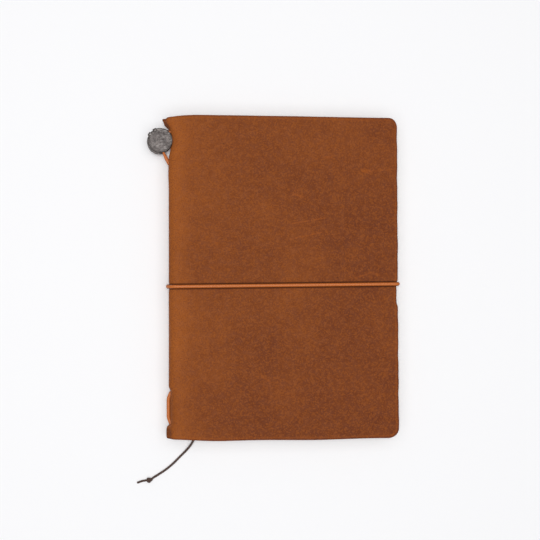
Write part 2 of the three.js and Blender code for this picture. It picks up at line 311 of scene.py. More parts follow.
class Nodes:
    """A material's node tree, built by short calls. Any input may be a number or a socket.

    Textures are laid out by a mesh attribute in millimetres, which follows the surface.
    """

    def __init__(self, name, attribute):
        self.material = bpy.data.materials.new(name)
        self.material.use_nodes = True
        self.tree = self.material.node_tree
        self.shader = self.tree.nodes["Principled BSDF"]
        self.coords = self.add("ShaderNodeAttribute", attribute_name=attribute).outputs["Vector"]

    def add(self, kind, inputs=(), **settings):
        node = self.tree.nodes.new(kind)
        for key, value in settings.items():
            setattr(node, key, value)
        for key, value in dict(inputs).items():
            self.put(node.inputs[key], value)
        return node

    def put(self, socket, value):
        if isinstance(value, bpy.types.NodeSocket):
            self.tree.links.new(value, socket)
        else:
            socket.default_value = value

    def math(self, operation, a, b=0.0, clamp=False):
        node = self.add("ShaderNodeMath", {0: a, 1: b}, operation=operation, use_clamp=clamp)
        return node.outputs[0]

    def sum(self, start, *terms):
        """start plus each term's factor times its socket."""
        total = start
        for factor, socket in terms:
            total = self.add("ShaderNodeMath", {0: socket, 1: factor, 2: total},
                             operation="MULTIPLY_ADD").outputs[0]
        return total

    def vector(self, operation, a, b=None):
        inputs = {0: a} if b is None else {0: a, ("Scale" if operation == "SCALE" else 1): b}
        node = self.add("ShaderNodeVectorMath", operation=operation)
        for key, value in inputs.items():
            self.put(node.inputs[key], value)
        return node.outputs["Value" if operation in ("LENGTH", "DOT_PRODUCT") else "Vector"]

    def noise(self, scale, detail=3.0, roughness=0.5, coords=None, distortion=0.0):
        """Scale is in waves to a millimetre."""
        node = self.add("ShaderNodeTexNoise", {
            "Vector": coords or self.coords, "Scale": scale, "Detail": detail,
            "Roughness": roughness, "Distortion": distortion})
        return node.outputs["Fac"]

    def ramp(self, value, low, high, to_low=0.0, to_high=1.0):
        node = self.add("ShaderNodeMapRange", {
            "Value": value, "From Min": low, "From Max": high,
            "To Min": to_low, "To Max": to_high}, interpolation_type="SMOOTHSTEP")
        return node.outputs["Result"]

    def mix(self, share, a, b):
        node = self.add("ShaderNodeMix", data_type="RGBA", blend_type="MIX")
        self.put(node.inputs[0], share)
        self.put(node.inputs[6], a)
        self.put(node.inputs[7], b)
        return node.outputs[2]

    def over(self, under, share, most, upper):
        """upper laid over under, as strongly as most where share is 1."""
        return self.mix(self.math("MULTIPLY", share, most), under, upper)

    def stretched(self, scale, turned=0.0):
        """The coordinates scaled along each axis, and turned about the third."""
        return self.add("ShaderNodeMapping", {
            "Vector": self.coords, "Rotation": (0, 0, turned), "Scale": scale}).outputs[0]

    def split(self, vector):
        return self.add("ShaderNodeSeparateXYZ", {"Vector": vector}).outputs

    def bump(self, height, distance, strength=1.0, below=None):
        """distance is how many millimetres a height of 1 stands for."""
        node = self.add("ShaderNodeBump", {
            "Height": height, "Distance": distance * MM, "Strength": strength})
        if below is not None:
            self.put(node.inputs["Normal"], below)
        return node.outputs["Normal"]

    def finish(self, base, roughness, normal, **others):
        values = {"Base Color": base, "Roughness": roughness, "Normal": normal, **others}
        for key, value in values.items():
            self.put(self.shader.inputs[key.replace("_", " ")], value)
        return self.material


# Scratches and rubbed places on the front cover: from (s, y) to (s, y), half width, lightness.
# s is measured from the spine's middle round the fold and over the cover, in millimetres.
SCRATCHES = (
    ((82.6, 44.4), (85.6, 44.0), 0.85, 0.8), ((84.8, 44.2), (94.6, 45.0), 0.28, 0.4),
    ((66.6, 49.8), (69.4, 50.0), 0.6, 0.55), ((53.5, 34.6), (57.4, 33.4), 0.55, 0.55),
    ((53.6, 36.6), (55.8, 36.2), 0.5, 0.4), ((53.0, 22.4), (67.2, 24.8), 0.3, 0.6),
    ((52.6, 16.0), (65.2, 18.8), 0.35, 0.55), ((79.4, -0.2), (86.2, 2.2), 0.4, 0.5),
    ((86.2, 2.2), (88.6, 1.2), 0.4, 0.45), ((20.4, 14.8), (22.0, 14.2), 0.5, 0.35),
    ((40.6, -40.4), (44.0, -43.2), 0.5, 0.45), ((34.0, 45.6), (34.2, 45.5), 0.35, 0.6),
    ((12.8, 39.4), (13.0, 39.3), 0.35, 0.5), ((27.4, 39.8), (27.6, 39.9), 0.35, 0.5),
    ((51.0, -6.4), (51.2, -6.3), 0.4, 0.6), ((62.0, 57.2), (75.0, 51.0), 0.14, 0.22),
    ((24.0, -22.0), (33.0, -30.5), 0.12, 0.22), ((70.0, -38.0), (84.0, -33.0), 0.12, 0.2),
)
DARK_DOTS = ((37.5, 16.4), (71.8, 0.2), (58.0, -29.0), (24.5, 55.0))


def segment_share(n, flat, start, end, half_width):
    """1 on a short line of the leather, fading to 0 at its sides."""
    start, end = Vector((*start, 0)), Vector((*end, 0))
    run = end - start
    away = n.vector("SUBTRACT", flat, tuple(start))
    along = n.math("DIVIDE", n.vector("DOT_PRODUCT", away, tuple(run)), run.length_squared,
                   clamp=True)
    step = n.vector("SCALE", tuple(run), along)
    distance = n.vector("LENGTH", n.vector("SUBTRACT", away, step))
    return n.ramp(distance, half_width * 1.5, half_width * 0.3)


def leather_material(name, light, dark, marked):
    """Waxed pull-up leather: cloudy colour, fine speckle, pale rubbed lines, a dark rim, and painted
    shade at the spine's ears and along the band's groove.
    """
    n = Nodes(name, "sheet")
    s, y = n.split(n.coords)[:2]
    rim = n.add("ShaderNodeAttribute", attribute_name="rim").outputs["Fac"]
    flat = n.add("ShaderNodeCombineXYZ", {"X": s, "Y": y, "Z": 0.0}).outputs[0]

    clouds = n.noise(0.028, 3.0, 0.55, distortion=0.6)
    mottle = n.noise(0.16, 4.0, 0.6, distortion=0.8)
    tone = n.sum(-0.27, (0.8, clouds), (0.5, mottle), (0.0014, y), (-0.0030, s),
                 (0.1, n.ramp(s, 34, 4)), (0.3, n.ramp(s, 13, 5)))
    base = n.mix(tone, dark, light)

    wobble = n.add("ShaderNodeTexNoise", {"Vector": n.coords, "Scale": 0.9, "Detail": 2.0})
    grain_coords = n.vector("ADD", n.coords, n.vector("SCALE", wobble.outputs["Color"], 0.6))
    pores = n.add("ShaderNodeTexVoronoi", {"Vector": grain_coords, "Scale": 1.9,
                                           "Randomness": 1.0}, feature="F1").outputs
    creases = n.add("ShaderNodeTexVoronoi", {
        "Vector": grain_coords, "Scale": 1.25, "Randomness": 1.0},
        feature="DISTANCE_TO_EDGE").outputs["Distance"]
    fine = n.noise(2.2, 4.0, 0.7)
    cell = n.split(pores["Color"])[0]
    base = n.over(base, n.ramp(fine, 0.46, 0.62), 0.58, n.mix(0.5, dark, colour(88, 46, 40)))
    base = n.over(base, n.ramp(cell, 0.5, 0.9), 0.34, light)
    warm = n.ramp(n.noise(1.6, 4.0, 0.7, distortion=0.5), 0.52, 0.62)
    base = n.over(base, warm, 0.34, light)
    # Painted shade on the spine's splayed ears at the head and tail, which stand steep and low
    # beside the spine.
    painted_ear_shade = n.math("MULTIPLY", n.ramp(s, 4.4, 2.6),
                     n.math("MAXIMUM", n.ramp(y, 60.0, 63.0), n.ramp(y, -61.4, -62.6)))
    base = n.over(base, painted_ear_shade, 0.55, colour(84, 40, 22))
    # Painted shade: a dark line along the band's groove, standing for the band's contact shadow on
    # the leather.
    from_band = n.math("ABSOLUTE", n.sum(-BAND_AT_SPINE, (1.0, y), (-BAND_SLOPE, s)))
    base = n.mix(n.ramp(from_band, 1.6, 0.8, 0.0, 0.9), base, colour(60, 28, 14))

    lightness = n.math("MULTIPLY", n.ramp(n.noise(0.5, 5.0, 0.8), 0.66, 0.76), 0.1)
    if marked:
        broken = n.ramp(n.noise(0.7, 4.0, 0.7), 0.36, 0.56, 0.25, 1.0)
        for start, end, half_width, strength in SCRATCHES:
            mark = segment_share(n, flat, start, end, half_width)
            mark = n.math("MULTIPLY", mark, broken)
            lightness = n.math("MAXIMUM", lightness, n.math("MULTIPLY", mark, strength * 0.55))
    rubbed = colour(172, 90, 26)
    base = n.mix(lightness, base, rubbed)
    if marked:
        for dot in DARK_DOTS:
            spot = segment_share(n, flat, dot, (dot[0] + 0.2, dot[1]), 0.3)
            base = n.over(base, spot, 0.6, colour(84, 44, 26))

    rim_dark = n.ramp(rim, 0.95, 0.35)
    rim_line = n.math("MULTIPLY", n.ramp(rim, 0.55, 0.95), n.ramp(rim, 1.6, 1.05))
    base = n.over(base, rim_line, 0.2, rubbed)
    base = n.over(base, rim_dark, 0.2, colour(96, 44, 25))

    height = n.sum(0.0, (0.6, n.ramp(creases, 0.0, 0.22)), (0.8, fine))
    height = n.sum(height, (-0.5, n.ramp(pores["Distance"], 0.16, 0.02)))
    normal = n.bump(height, 0.045, 0.7)
    normal = n.bump(n.noise(0.11, 3.0, 0.5), 0.35, 0.5, below=normal)
    roughness = n.ramp(n.noise(0.4, 3.0), 0.3, 0.7, 0.62, 0.78)
    roughness = n.math("SUBTRACT", roughness, n.math("MULTIPLY", lightness, 0.12))
    return n.finish(base, roughness, normal, Specular_IOR_Level=0.12)


def suede_material():
    """The hide's flesh side: napped, paler and streaked."""
    n = Nodes("leather_flesh_side", "sheet")
    nap = n.noise(1.6, 5.0, 0.7, coords=n.stretched((1.0, 0.6, 1.0)))
    clouds = n.noise(0.06, 3.0)
    tone = n.mix(n.ramp(nap, 0.35, 0.65), colour(116, 72, 44), colour(158, 106, 68))
    tone = n.over(tone, n.ramp(clouds, 0.35, 0.7), 0.4, colour(132, 82, 48))
    return n.finish(tone, 0.95, n.bump(nap, 0.08, 0.7), Specular_IOR_Level=0.15,
                    Sheen_Weight=0.25, Sheen_Roughness=0.4)


def edge_material():
    """The cut edge of the hide: darkened, with its fibres showing a little."""
    n = Nodes("leather_cut_edge", "sheet")
    fibre = n.noise(1.8, 4.0, 0.7, coords=n.stretched((1.0, 1.0, 4.0)))
    tone = n.mix(n.ramp(fibre, 0.3, 0.7), colour(78, 36, 20), colour(124, 66, 36))
    return n.finish(tone, 0.72, n.bump(fibre, 0.07, 0.8), Specular_IOR_Level=0.3)


def elastic_material():
    """Round elastic cord: a fine braid over the core, darker in its valleys, and with painted shade
    on its sides, where the round cord turns away from the overhead light."""
    n = Nodes("elastic_cord", "cord")
    along, angle = n.split(n.coords)[:2]
    strands = 8
    waves = []
    for way in (1, -1):
        phase = n.math("ADD", n.math("MULTIPLY", angle, strands * way),
                       n.math("MULTIPLY", along, 4.6))
        waves.append(n.ramp(n.math("SINE", phase), -1.0, 1.0))
    braid = n.math("MAXIMUM", *waves)
    fuzz = n.noise(2.2, 3.0)
    tone = n.mix(n.ramp(fuzz, 0.35, 0.7), colour(186, 98, 38), colour(208, 120, 52))
    tone = n.over(tone, n.ramp(braid, 0.75, 0.35), 0.35, colour(124, 56, 22))
    # Painted shade: the cord's sides, where its normal points along y, are darkened as the round
    # cord turns away from the light.
    sideways = n.math("ABSOLUTE", n.split(n.add("ShaderNodeTexCoord").outputs["Normal"])[1])
    tone = n.mix(n.ramp(sideways, 0.45, 0.9, 0.0, 0.75), tone, colour(96, 44, 20))
    return n.finish(tone, 0.45, n.bump(braid, 0.05, 0.5), Specular_IOR_Level=0.35)


def twine_material():
    """Waxed twisted cord: dark brown, with fibres that follow its twist."""
    n = Nodes("bookmark_twine", "cord")
    along, angle = n.split(n.coords)[:2]
    twist = n.math("ADD", n.math("MULTIPLY", angle, 9.0), n.math("MULTIPLY", along, -9.0))
    fibres = n.ramp(n.math("SINE", twist), -1.0, 1.0)
    dust = n.noise(1.6, 4.0)
    tone = n.mix(n.ramp(dust, 0.3, 0.7), colour(52, 38, 34), colour(88, 68, 60))
    tone = n.over(tone, fibres, 0.3, colour(110, 88, 78))
    return n.finish(tone, 0.75, n.bump(fibres, 0.03, 0.5), Specular_IOR_Level=0.3)


def tin_material():
    """Dull stamped tin: scuffed, faintly hammered, darker where it is seldom rubbed."""
    n = Nodes("worn_tin", "plain")
    broad = n.noise(0.35, 3.0, distortion=0.8)
    spots = n.noise(0.8, 5.0, 0.75)
    worn = n.ramp(n.noise(0.9, 5.0, 0.8, distortion=1.0), 0.5, 0.62)
    brushed = n.stretched((0.3, 4.5, 2.0), turned=0.9)
    scratches = n.ramp(n.noise(0.7, 3.0, 0.6, coords=brushed), 0.6, 0.66)
    tone = n.mix(n.ramp(broad, 0.35, 0.65), colour(74, 67, 65), colour(100, 93, 90))
    tone = n.over(tone, n.ramp(spots, 0.48, 0.6), 0.5, colour(50, 46, 45))
    tone = n.over(tone, worn, 0.4, colour(140, 134, 131))
    tone = n.over(tone, scratches, 0.45, colour(184, 180, 177))
    roughness = n.ramp(spots, 0.3, 0.7, 0.44, 0.62)
    normal = n.bump(spots, 0.04, 0.7)
    normal = n.bump(n.noise(0.5, 2.0), 0.12, 0.6, below=normal)
    return n.finish(tone, roughness, normal, Metallic=0.5)


def steel_material():
    """Bright drawn wire, a little tarnished."""
    n = Nodes("staple_wire", "cord")
    lines = n.noise(2.0, 3.0, coords=n.stretched((0.5, 3.0, 1.0)))
    tone = n.mix(n.ramp(lines, 0.35, 0.65), colour(168, 166, 162), colour(206, 204, 200))
    return n.finish(tone, n.ramp(lines, 0.3, 0.7, 0.22, 0.4), n.bump(lines, 0.01, 0.4),
                    Metallic=1.0)


def paper_material():
    """Smooth cream writing paper, with a faint cloudy fibre."""
    n = Nodes("cream_paper", "plain")
    fibre = n.noise(2.4, 4.0, 0.7)
    clouds = n.noise(0.25, 3.0)
    tone = n.mix(n.ramp(fibre, 0.35, 0.65), colour(238, 230, 210), colour(245, 238, 221))
    tone = n.over(tone, n.ramp(clouds, 0.35, 0.7), 0.35, colour(234, 224, 202))
    return n.finish(tone, 0.85, n.bump(fibre, 0.02, 0.5), Specular_IOR_Level=0.25)


def kraft_material():
    """Unbleached card, with flecks and long pale fibres."""
    n = Nodes("kraft_card", "plain")
    grain = n.stretched((2.5, 0.6, 1.0), turned=0.2)
    fibre = n.noise(1.3, 5.0, 0.7, coords=grain)
    flecks = n.ramp(n.noise(1.9, 5.0, 0.8), 0.66, 0.72)
    pale = n.ramp(n.noise(1.2, 4.0, 0.75, coords=grain), 0.6, 0.7)
    tone = n.mix(n.ramp(fibre, 0.35, 0.65), colour(158, 118, 76), colour(182, 142, 97))
    tone = n.over(tone, flecks, 0.5, colour(112, 78, 48))
    tone = n.over(tone, pale, 0.3, colour(206, 172, 128))
    return n.finish(tone, 0.8, n.bump(fibre, 0.03, 0.6), Specular_IOR_Level=0.25)


PULLED_UP = colour(160, 88, 33)  # where the hide has been bent or rubbed
WAXED = colour(106, 52, 24)
front_leather = leather_material("leather_grain_front", PULLED_UP, WAXED, marked=True)
back_leather = leather_material("leather_grain_back", PULLED_UP, WAXED, marked=False)
suede = suede_material()
cut_edge = edge_material()
elastic = elastic_material()
twine = twine_material()
tin = tin_material()
steel = steel_material()
paper = paper_material()
kraft = kraft_material()


# ---- leather ----
# Each half of the hide is a sheet laid out by s, the distance along its middle layer from the
# spine's middle line round the fold to the fore-edge, and y. n runs through its thickness,
# from -0.9 on the inside to 0.9 on the outside.

HALF_SKIN = LEATHER / 2
WALL_END = MIDDLE - FOLD_RADIUS
MIDDLE_RADIUS = FOLD_RADIUS - HALF_SKIN
FOLD_END = WALL_END + MIDDLE_RADIUS * math.pi / 2
SHEET_END = FOLD_END + WIDTH - FOLD_RADIUS
EDGE_ROUND = 0.5
EDGE_STEPS = np.array([0, 0.05, 0.13, 0.25, 0.4, 0.6, 0.85, 1.2, 1.7, 2.4])
HEAD_DIP = 1.5
TAIL_DIP = 0.75
CORD_HOLE_RADIUS = 1.15
BAND_HOLE_RADIUS = 1.85
SPINE_HOLES = [(y, CORD_HOLE_RADIUS) for y in (*CLASP_HOLES, *TAIL_HOLES)]
SPINE_HOLES.append((BAND_AT_SPINE, BAND_HOLE_RADIUS))


def bump_shape(t):
    """1 at 0, falling smoothly to 0 at 1 and beyond."""
    return np.cos(math.pi / 2 * np.minimum(np.abs(t), 1)) ** 2


def spine_shift(y):
    """How far the middle of the spine is pushed in (+x) or splays out (-x)."""
    dent = 2.0 * bump_shape((y - 56.9) / 8.2)
    head = -2.2 * smooth((y - 59.2) / 4.4) - 0.6 * smooth((y - 63.9) / 1.5)
    loop = 0.6 * smooth((y + 61.4) / 1.6) * smooth((-44.6 - y) / 2)
    tail = -1.0 * smooth((-60.3 - y) / 1.7) * (1 - 0.35 * smooth((-65 - y) / 1.6))
    return dent + head + loop + tail


def fold_shift(y, front):
    """The same for the fold beside a cover."""
    dent = 1.3 * bump_shape((y - 56.3) / 7.0)
    head = -1.15 * smooth((y - 60.8) / 3.5)
    loop = 0.95 * smooth((y + 62.0) / 2.5) * smooth((-44.8 - y) / 2.2)
    tail = 0.35 * smooth((-61.0 - y) / 3)
    slack = (0.3 * bump_shape((y + 25) / 16) - 0.35 * bump_shape((y - 43) / 8)
             + 0.06 * np.sin(y / 6.3))
    return (dent + head + loop + tail) * (1.0 if front else 0.6) + slack


def head_edge(s):
    """y of the outline at the head, before the corner is rounded off."""
    near = (1 - np.clip((s - WALL_END) / 13, 0, 1)) ** 2
    drift = 0.12 * np.sin(s / 9.0 + 0.5) + 0.07 * np.sin(s / 3.7)
    far = smooth((s - 30) / 60)
    crease = 0.4 * np.exp(-((s - 2.9) / 0.45) ** 2)
    return HEIGHT / 2 - 0.2 - HEAD_DIP * near - 0.3 * far + 0.12 * drift - crease


def tail_edge(s):
    """The same at the tail."""
    near = 1 - smooth((s - WALL_END) / 24)
    far = smooth((s - 60) / 40)
    return -HEIGHT / 2 + TAIL_DIP * near + 0.25 * far + 0.12 * np.sin(s / 7.0 + 2)


def corner_cut(s):
    """How far the rounded corner is inside the square one at s."""
    into = np.clip((s - (SHEET_END - CORNER_RADIUS)) / CORNER_RADIUS, 0, 1)
    return CORNER_RADIUS * (1 - np.sqrt(1 - into ** 2))


def cover_height(s, y):
    """Slow waves of a cover that isn't quite flat."""
    waves = (0.10 * np.sin(s / 19.0 + 0.4) * np.sin(y / 23.0 + 1.0)
             + 0.05 * np.sin(s / 7.1 + y / 11.0))
    return waves * smooth((s - 8) / 14)


def groove_depth(x, y):
    """The trench that the band presses into the outside."""
    away = y - band_y(x)
    return 0.40 * np.exp(-(away / 0.95) ** 2) + 0.16 * np.exp(-(away / 2.4) ** 2)


def fold_point(s, n):
    """x and z of the back sheet's section at s and n, before it is worn out of shape."""
    turned = np.clip((s - WALL_END) / MIDDLE_RADIUS, 0, math.pi / 2)
    radius = MIDDLE_RADIUS + n
    x = FOLD_RADIUS - radius * np.cos(turned) + np.maximum(s - FOLD_END, 0)
    z = FOLD_RADIUS - radius * np.sin(turned) + np.maximum(WALL_END - s, 0)
    return x, z


def sheet_rows():
    """y of the sheet's rows, close together at the edges, the holes and the band."""
    edge = HEIGHT / 2
    rows = [*(edge - EDGE_STEPS), *(EDGE_STEPS - edge)]
    inner = edge - EDGE_STEPS[-1]
    rows += list(np.linspace(-inner, inner, 118)[1:-1])
    for y, radius in SPINE_HOLES:
        rows += list(y + radius * np.sin(np.linspace(-math.pi / 2, math.pi / 2, 13)))
    rows += list(BAND_AT_SPINE + np.linspace(-3.6, 3.6, 37))
    rows = np.unique(np.round(rows, 4))
    kept = [rows[0]]
    fixed = [y + side * radius for y, radius in SPINE_HOLES for side in (-1, 0, 1)]
    for y in rows[1:]:
        if y - kept[-1] > 0.045 or min(abs(y - f) for f in fixed) < 1e-3:
            kept.append(y)
    return np.array(kept)


def sheet_columns():
    wall = np.linspace(0, WALL_END, 9)
    fold = np.linspace(WALL_END, FOLD_END, 13)[1:]
    near = np.linspace(FOLD_END, 16, 20)[1:]
    flat = np.linspace(16, SHEET_END - CORNER_RADIUS, 62)[1:]
    turned = np.linspace(0, math.pi / 2, 11)[1:]
    corner = SHEET_END - CORNER_RADIUS + CORNER_RADIUS * np.sin(turned)
    edges = SHEET_END - EDGE_STEPS
    return np.unique(np.round([*wall, *fold, *near, *flat, *corner, *edges], 4))


def spine_start(y):
    """Where the sheet starts beside each row's hole, if it has one."""
    start = np.zeros_like(y)
    for centre, radius in SPINE_HOLES:
        start = np.maximum(start, np.sqrt(np.maximum(radius ** 2 - (y - centre) ** 2, 0)))
    return start


def edge_distance(s, y):
    """How far a point of the sheet is inside its outline. The spine's middle isn't an edge."""
    ahead = SHEET_END - s
    above = np.minimum(head_edge(s) - y, y - tail_edge(s))
    square = np.minimum(ahead, above)
    inside = np.hypot(np.maximum(CORNER_RADIUS - ahead, 0), np.maximum(CORNER_RADIUS - above, 0))
    in_corner = (ahead < CORNER_RADIUS) & (above < CORNER_RADIUS)
    return np.maximum(np.where(in_corner, CORNER_RADIUS - inside, square), 0)


HOLE_REACH = 4.0  # s to which the columns bend round the spine's holes
EDGE_REACH = 44.0  # y from which the rows bend to the worn head and tail


def leather_sheet(name, front, outer):
    """One half of the hide: half of the spine, a fold and a cover, in one piece."""
    rows, columns = sheet_rows(), sheet_columns()
    base, s = np.meshgrid(rows, columns)
    start = spine_start(base)
    s = np.where(s < HOLE_REACH, start + s * (HOLE_REACH - start) / HOLE_REACH, s)
    held = smooth((s - 3) / 3) * (1 - smooth((np.abs(base - BAND_AT_SPINE) - 8) / 30))
    y = base + held * (band_y(s - FOLD_END + FOLD_RADIUS) - BAND_AT_SPINE)
    top, bottom = head_edge(s) - corner_cut(s), tail_edge(s) + corner_cut(s)
    rise = np.where(base > 0, top - HEIGHT / 2, bottom + HEIGHT / 2)
    y = y + rise * smooth((np.abs(base) - EDGE_REACH)
                          / (HEIGHT / 2 - EDGE_STEPS[-1] - EDGE_REACH))

    inside = edge_distance(s, y)
    half = HALF_SKIN - EDGE_ROUND + np.sqrt(
        np.maximum(EDGE_ROUND ** 2 - np.maximum(EDGE_ROUND - inside, 0) ** 2, 0))
    layers = []
    for n in (half, 0.5 * half, -0.5 * half, -half):
        layers.append(sheet_layer(s, y, n, front))
    return sheet_mesh(name, layers, s, y, inside, front, outer)


def sheet_layer(s, y, n, front):
    """The sheet's points at depth n, worn into shape, as an array in notebook millimetres."""
    x, z = fold_point(s, n)
    flat_x = np.maximum(s - FOLD_END + FOLD_RADIUS, 0)
    in_wall = 1 - smooth((s - 1.4) / 1.4)
    by_fold = 1 - smooth((s - 6) / 8)
    x = x + in_wall * spine_shift(y) + (1 - in_wall) * by_fold * fold_shift(y, front)
    turned = np.clip((s - WALL_END) / MIDDLE_RADIUS, 0, math.pi / 2)
    creased = 0.5 * np.sin(2 * turned) * smooth((y - 59.5) / 4.5)
    x, z = x - creased, z - 0.6 * creased
    outside = smooth((n / HALF_SKIN + 1) / 2)
    on_flat = smooth((s - FOLD_END + 0.6) / 1.6)
    z = z + outside * on_flat * groove_depth(flat_x, y)
    over_fold = (1 - on_flat) * smooth((s - 1.8) / 0.8) * outside
    notch = 0.5 * np.exp(-((y - BAND_AT_SPINE) / 0.95) ** 2)
    x = x + over_fold * notch * np.cos(turned)
    z = z + over_fold * notch * np.sin(turned)
    pull = np.zeros_like(s)
    for centre, radius in SPINE_HOLES:
        from_hole = np.hypot(s, y - centre) - radius
        pull = np.maximum(pull, 0.22 * np.exp(-(np.maximum(from_hole, 0) / 0.9) ** 2))
    x = x + pull * in_wall
    at_edge = smooth((s - SHEET_END + 3) / 3)
    strand_notch = 0.8 * np.exp(-((y - BAND_AT_FORE_EDGE) / 1.15) ** 2)
    small_notch = 0.65 * smooth((-3.0 - y) / 1.2) * smooth((y + 12.6) / 2.5) * front
    ragged = 0.0065 * y + 0.06 * np.sin(y / 2.9) + 0.05 * np.sin(y / 1.3 + 1)
    x = x - at_edge * (strand_notch + small_notch + ragged)
    z = z - cover_height(s, y) * (1 if front else 0.4)
    if front:
        z = THICKNESS - z
    return np.stack([x, y, z], axis=-1)


def sheet_mesh(name, layers, s, y, inside, front, outer):
    """Joins the four layers of a sheet into one closed mesh, outer face first."""
    columns, rows = s.shape
    size = columns * rows
    index = np.arange(size).reshape(columns, rows)
    faces, kinds = [], []

    def add(quads, kind):
        faces.extend(quads if front else quads[:, ::-1])
        kinds.extend([kind] * len(quads))

    add(grid_faces(index), 0)
    add(grid_faces(index + 3 * size)[:, ::-1], 1)
    depths = np.arange(4)[:, None] * size
    rims = (index[::-1, 0], index[:, -1], index[-1, ::-1], index[0, :])
    for rim in rims:
        add(grid_faces(depths + rim[None, :])[:, ::-1], 2)
    vertices = np.concatenate([layer.reshape(-1, 3) for layer in layers])
    flat = np.stack([s, y, np.zeros_like(s)], axis=-1).reshape(-1, 3)
    laid = np.concatenate([flat + (0, 0, depth) for depth in np.linspace(0, LEATHER, 4)])
    piece = new_mesh(name, places(vertices), faces, [outer, suede, cut_edge], kinds, [
        ("sheet", "FLOAT_VECTOR", laid), ("rim", "FLOAT", np.tile(inside.ravel(), 4))])
    sharpen(piece, set(index[0, :]) | set(index[0, :] + 3 * size))
    return piece


def sharpen(piece, along):
    """Marks the edges between these vertices as sharp."""
    mesh = piece.data
    ends = np.zeros(len(mesh.edges) * 2, int)
    mesh.edges.foreach_get("vertices", ends)
    marked = np.isin(ends, list(along)).reshape(-1, 2).all(axis=1)
    mesh.attributes.new("sharp_edge", "BOOLEAN", "EDGE").data.foreach_set("value", marked)


def add_leather():
    back = leather_sheet("leather_back_sheet", False, back_leather)
    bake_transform(back)
    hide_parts("leather_back_cover", "leather_spine")
    front = leather_sheet("leather_front_sheet", True, front_leather)
    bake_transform(front)
    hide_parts("leather_front_cover")


add_leather()


# ---- closing band ----

STRAND_HEIGHT = CORD_RADIUS - BAND_SINK  # of a strand's middle over the cover's face
BACK_STRAND = -STRAND_HEIGHT
FRONT_STRAND = THICKNESS + STRAND_HEIGHT
FORE_EDGE_TURN = 1.3


def knot_path(centre, half, loose=0.0):
    """An overhand knot, as a trefoil cut open, that fills half = (x, y, z) round centre."""
    t = np.linspace(0.25, 2 * math.pi - 0.25 - loose, 64)
    lobes = np.stack([-np.sin(3 * t), np.sin(t) + 2 * np.sin(2 * t),
                      np.cos(t) - 2 * np.cos(2 * t)], axis=1)
    return np.array(centre) + lobes / (1, 2.8, 3.0) * half


def band_leg(front):
    """One end of the band: out of the hole, along the spine and round the fold to the cover."""
    side = 1 if front else -1
    strand = FRONT_STRAND if front else BACK_STRAND
    start = MIDDLE + side * 0.87
    corners = [(1.95, BAND_AT_SPINE, start), (-0.35, BAND_AT_SPINE, start, 0.9),
               (-0.35, BAND_AT_SPINE, strand, 3.35), (5.2, band_y(5.2), strand)]
    return resample(rounded(corners, 20), 0.25)


def add_band():
    radius = CORD_RADIUS
    front_leg = tube("closing_band_front_leg", band_leg(True), radius - 0.01, elastic)
    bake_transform(front_leg)
    back_leg = tube("closing_band_back_leg", band_leg(False), radius - 0.01, elastic)
    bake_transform(back_leg)
    knot = tube("closing_band_knot",
                knot_path((2.36, BAND_AT_SPINE, MIDDLE), (0.16, 0.85, 1.25)), 0.38, elastic, 12)
    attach(knot, "spine")

    def run(name, x_from, x_to, z):
        ends = [(x, band_y(x), z) for x in (x_from, x_to)]
        return tube(name, resample(np.array(ends), 0.5), radius - 0.01, elastic)

    back_strand = run("closing_band_back_strand", 4.6, 93.5, BACK_STRAND)
    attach(back_strand, "back_cover")
    front_stub = run("closing_band_front_start", 4.6, 19.0, FRONT_STRAND)
    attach(front_stub, "back_cover")

    end_y = float(band_y(WIDTH))
    turn = FORE_EDGE_TURN
    corners = [(8.0, band_y(8.0), FRONT_STRAND), (92.8, end_y, FRONT_STRAND, 0.2),
               (BAND_FORE_EDGE, end_y, FRONT_STRAND, turn),
               (BAND_FORE_EDGE, end_y, BACK_STRAND, turn),
               (92.8, end_y, BACK_STRAND, 0.2), (80.0, band_y(80.0), BACK_STRAND)]
    strand = tube("closing_band_strand_and_loop", resample(rounded(corners, 14), 0.25), radius,
                  elastic)
    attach(strand, "band_loop")
    for piece in (front_stub, strand):
        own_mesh(piece)
    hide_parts("closing_band_spine")
    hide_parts("closing_band_front", "closing_band_fore_edge_loop")
    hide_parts("closing_band_back")


# ---- booklet elastic ----

STRETCHED_RADIUS = 0.74  # of elastic that is pulled tight


def add_booklet_elastic():
    """It holds the booklet by its fold: up the spine, through both pairs of holes and back."""
    wall = 2.75
    at_hole = 0.9
    outside = -0.15
    corners = [
        (1.9, CLASP_HOLES[1], MIDDLE), (wall, CLASP_HOLES[1], MIDDLE, 0.9),
        (wall, 4.5, MIDDLE, 8), (3.85, BAND_AT_SPINE, MIDDLE, 8), (2.8, -11.5, MIDDLE, 8),
        (2.8, -40, MIDDLE, 8), (3.75, TAIL_HOLES[0], MIDDLE, 0.9),
        (at_hole, TAIL_HOLES[0], MIDDLE, 1.0), (outside, TAIL_HOLES[0] - 2.6, MIDDLE, 4),
        (outside, TAIL_HOLES[1] + 2.6, MIDDLE, 4), (at_hole, TAIL_HOLES[1], MIDDLE, 1.0),
        (3.9, TAIL_HOLES[1], MIDDLE, 0.9), (3.9, -END_TURN, MIDDLE, 0.9),
        (FOLD_STRAND, -END_TURN, MIDDLE, 0.9), (FOLD_STRAND, END_TURN, MIDDLE, 0.9),
        (4.1, END_TURN, MIDDLE, 0.9), (4.1, CLASP_HOLES[0], MIDDLE, 0.9),
        (2.0, CLASP_HOLES[0], MIDDLE)]
    strand = tube("booklet_elastic", resample(rounded(corners, 12), 0.3), STRETCHED_RADIUS,
                  elastic)
    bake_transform(strand)
    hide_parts("spine_elastic")


# ---- clasp ----

PLATE = 0.45
PLATE_HEIGHT = 0.675  # of each plate's middle from the spine's middle plane
PLATE_RIM = 0.085  # width of the rounded rim, as a share of the radius
BACK_CENTRE = (-3.9, 56.1)
TAB_ANGLES = (115, 146)


